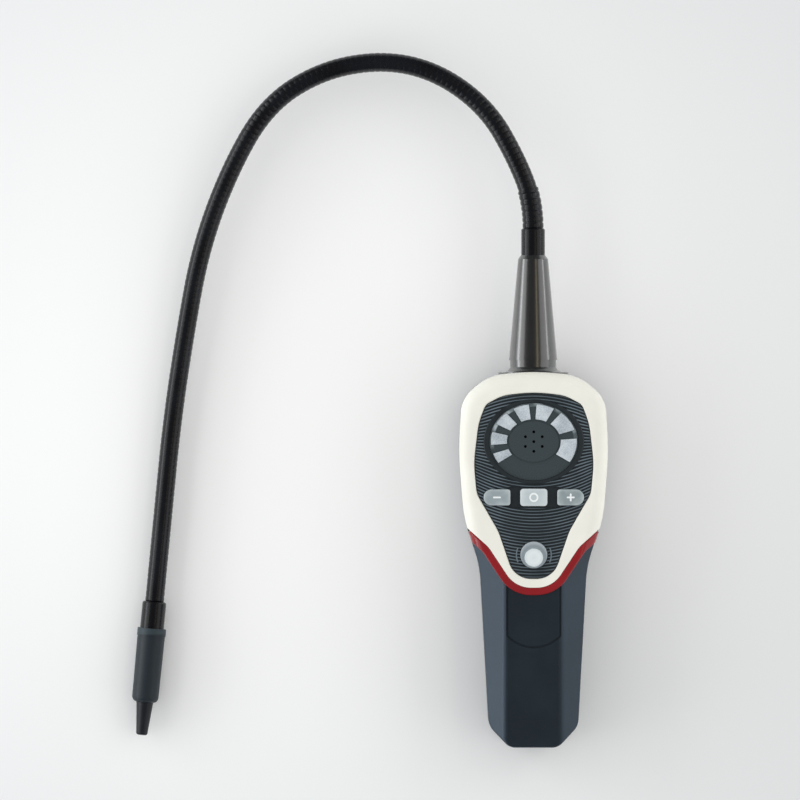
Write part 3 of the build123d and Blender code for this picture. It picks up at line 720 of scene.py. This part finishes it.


# Keys
# Three moulded rubber keys and the round power key. The three keys' faces are a little darker in the
# middle and pale round the rim; the pale rim is a painted highlight on the rounded edge.


def key_finish(name, node, dark, light):
    """Cloudy rubber, darker towards the middle of the key's face than round its rim, where a highlight is painted.
    """
    material, tree, shader = new_finish(name)
    low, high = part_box(node)
    middle = (low + high) / 2
    half = (high - low) / 2
    parts = tree.nodes.new("ShaderNodeSeparateXYZ")
    face = placed(tree, centre=middle, spread=(1 / half.x, 1 / half.y, 0.0))
    tree.links.new(face, parts.inputs["Vector"])
    # Painted highlight: the face's colour grows paler towards its rim.
    to_side = worked(tree, "POWER", worked(tree, "ABSOLUTE", parts.outputs["X"]), 4.0)
    to_top = worked(tree, "POWER", worked(tree, "ABSOLUTE", parts.outputs["Y"]), 4.0)
    rim = worked(tree, "ADD", to_side, to_top)
    cloud = stretched(tree, clouded(tree, placed(tree), 0.004), 0.3, 0.7, -0.15, 0.15)
    tint = shaded(tree, worked(tree, "ADD", rim, cloud), (0.0, dark), (0.8, light))
    tree.links.new(tint, shader.inputs["Base Color"])
    speck = clouded(tree, placed(tree), 0.0004, 3.0)
    tree.links.new(stretched(tree, speck, 0.3, 0.7, 0.30, 0.42), shader.inputs["Roughness"])
    raised(tree, shader, speck, 0.00002)
    return material


dress(
    key_finish("low_key", "sensitivity_low_button", colour(150, 163, 168), colour(196, 206, 210)),
    "sensitivity_low_button",
)
dress(
    key_finish("high_key", "sensitivity_high_button", colour(142, 155, 159), colour(194, 204, 208)),
    "sensitivity_high_button",
)
dress(
    key_finish("reset_key", "reset_button", colour(190, 201, 206), colour(214, 221, 225)),
    "reset_button",
)


# Marks on the keys
# A plain minus, plus and ring are printed on the keys in thick white ink. They are generic:
# they say less and more sensitive, and start again.
ink_thickness = 0.00008
bar_long = 0.0036
bar_wide = 0.0008
ring_radius = 0.0017
ring_steps = 48

ink, ink_tree, ink_shader = surfaced(
    "white_ink", colour(232, 238, 240), colour(242, 246, 247), (0.40, 0.50), 0.0005, 0.00001
)


def key_top(node):
    """The middle of the key's top, sunk by half the ink so that the ink holds on to it."""
    low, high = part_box(node)
    return Vector(((low.x + high.x) / 2, (low.y + high.y) / 2, high.z + ink_thickness / 4))


def printed(name, shape, node):
    """Makes the finished shape a piece in white ink on the key."""
    bmesh.ops.translate(shape, verts=shape.verts, vec=key_top(node))
    bmesh.ops.recalc_face_normals(shape, faces=shape.faces)
    mesh = mesh_of(shape, name)
    mesh.materials.append(ink)
    piece = bpy.data.objects.new(name, mesh)
    bpy.context.scene.collection.objects.link(piece)
    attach(piece, node)


def strokes(directions):
    """A printed sign with an arm in each direction."""
    return armed_square(directions, bar_long, bar_wide, ink_thickness)


printed("low_mark", strokes(left_and_right), "sensitivity_low_button")
printed("high_mark", strokes(left_and_right + up_and_down), "sensitivity_high_button")
ring = bmesh.new()
section = [
    ring.verts.new((ring_radius + across * bar_wide / 2, 0, up * ink_thickness / 2))
    for across, up in ((-1, -1), (1, -1), (1, 1), (-1, 1))
]
for here, there in zip(section, section[1:] + section[:1]):
    ring.edges.new((here, there))
bmesh.ops.spin(
    ring, geom=list(ring.verts) + list(ring.edges), cent=(0, 0, 0), axis=(0, 0, 1),
    angle=2 * pi, steps=ring_steps, use_merge=True,
)
printed("reset_mark", ring, "reset_button")


# Power key
# A grey moulded ring round a bright white lens, which sits a little low in it.
lens_radius = 0.0043
power, power_tree, power_shader = new_finish("power_key")
lens_place = placed(power_tree, centre=lens_middle, spread=(1, 1, 0))
lens_reach = length_of(power_tree, lens_place)
lens_cloud = stretched(power_tree, clouded(power_tree, placed(power_tree), 0.0012, 3.0), 0.3, 0.7, -0.0001, 0.0001)
lens_edge = worked(power_tree, "ADD", lens_reach, lens_cloud)
lens_share = stretched(power_tree, lens_edge, 0.0, 2 * lens_radius)
power_tint = shaded(
    power_tree, lens_share,
    (0.0, colour(220, 228, 230)), (0.30, colour(228, 235, 237)), (0.46, colour(214, 223, 226)),
    (0.5, colour(150, 162, 169)), (0.62, colour(136, 148, 155)), (0.78, colour(168, 178, 184)),
)
power_tree.links.new(power_tint, power_shader.inputs["Base Color"])
power_shader.inputs["Roughness"].default_value = 0.32
dress(power, "power_button")


# Front bezel
# The cream shield is the front half of the housing, injection moulded in satin plastic.
cream, cream_tree, cream_shader = surfaced(
    "cream_shell", colour(237, 236, 227), colour(242, 242, 233), (0.44, 0.54), 0.0008, 0.00002, shine=0.35
)
dress(cream, "front_bezel")


# Accent band
# A glossy red strip that follows the shield's lower edge and wraps round both flanks.
red, red_tree, red_shader = surfaced(
    "red_band", colour(140, 26, 33), colour(150, 29, 36), (0.20, 0.26), 0.0009, 0.000003
)
dress(red, "accent_band")


# Grip front
# The grip's front is slate plastic like the rear shell, with sloping flanks and a thumb pad
# marked out by a fine groove.
dress(slate, "grip_front")


# Neck collar and cone
# Two glossy black turned pieces screwed together over the housing's crown.
neck_black, neck_tree, neck_shader = surfaced(
    "black_neck", colour(12, 14, 17), colour(16, 18, 21), (0.32, 0.36), 0.004, 0.0000005, shine=0.8
)
neck_shader.inputs["IOR"].default_value = 1.6
neck_shader.inputs["Coat Weight"].default_value = 1.0
neck_shader.inputs["Coat IOR"].default_value = 1.8
neck_shader.inputs["Coat Roughness"].default_value = 0.16
dress(neck_black, "neck_collar", "neck_cone")


# Ferrules
# Smooth lengths of thicker black sleeving shrunk over both ends of the gooseneck.
dress(sleeving, "root_ferrule", "probe_ferrule")


# Sensor housing
# The sleeve and the tip that it screws on to are moulded in blue-black plastic. The sleeve's
# upper rim is a little paler.
rim_length = 0.0030
sensor_blue, sensor_tree, sensor_shader = surfaced(
    "sensor_housing", colour(27, 37, 45), colour(33, 44, 52), (0.42, 0.55), 0.0008, 0.00002, shine=0.4
)
sleeve_low, sleeve_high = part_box("sensor_sleeve")
rim_parts = sensor_tree.nodes.new("ShaderNodeSeparateXYZ")
sensor_tree.links.new(placed(sensor_tree, centre=sleeve_high), rim_parts.inputs["Vector"])
rim_share = stretched(sensor_tree, rim_parts.outputs["Y"], -rim_length - 0.0006, -rim_length)
sensor_tint = shaded(sensor_tree, rim_share, (0.0, colour(30, 41, 49)), (1.0, colour(48, 62, 69)))
sensor_tree.links.new(sensor_tint, sensor_shader.inputs["Base Color"])
dress(sensor_blue, "sensor_sleeve")
tip_black, tip_tree, tip_shader = surfaced(
    "sensor_tip", colour(21, 24, 32), colour(26, 30, 38), (0.40, 0.52), 0.0008, 0.00002, shine=0.4
)
dress(tip_black, "sensor_tip")
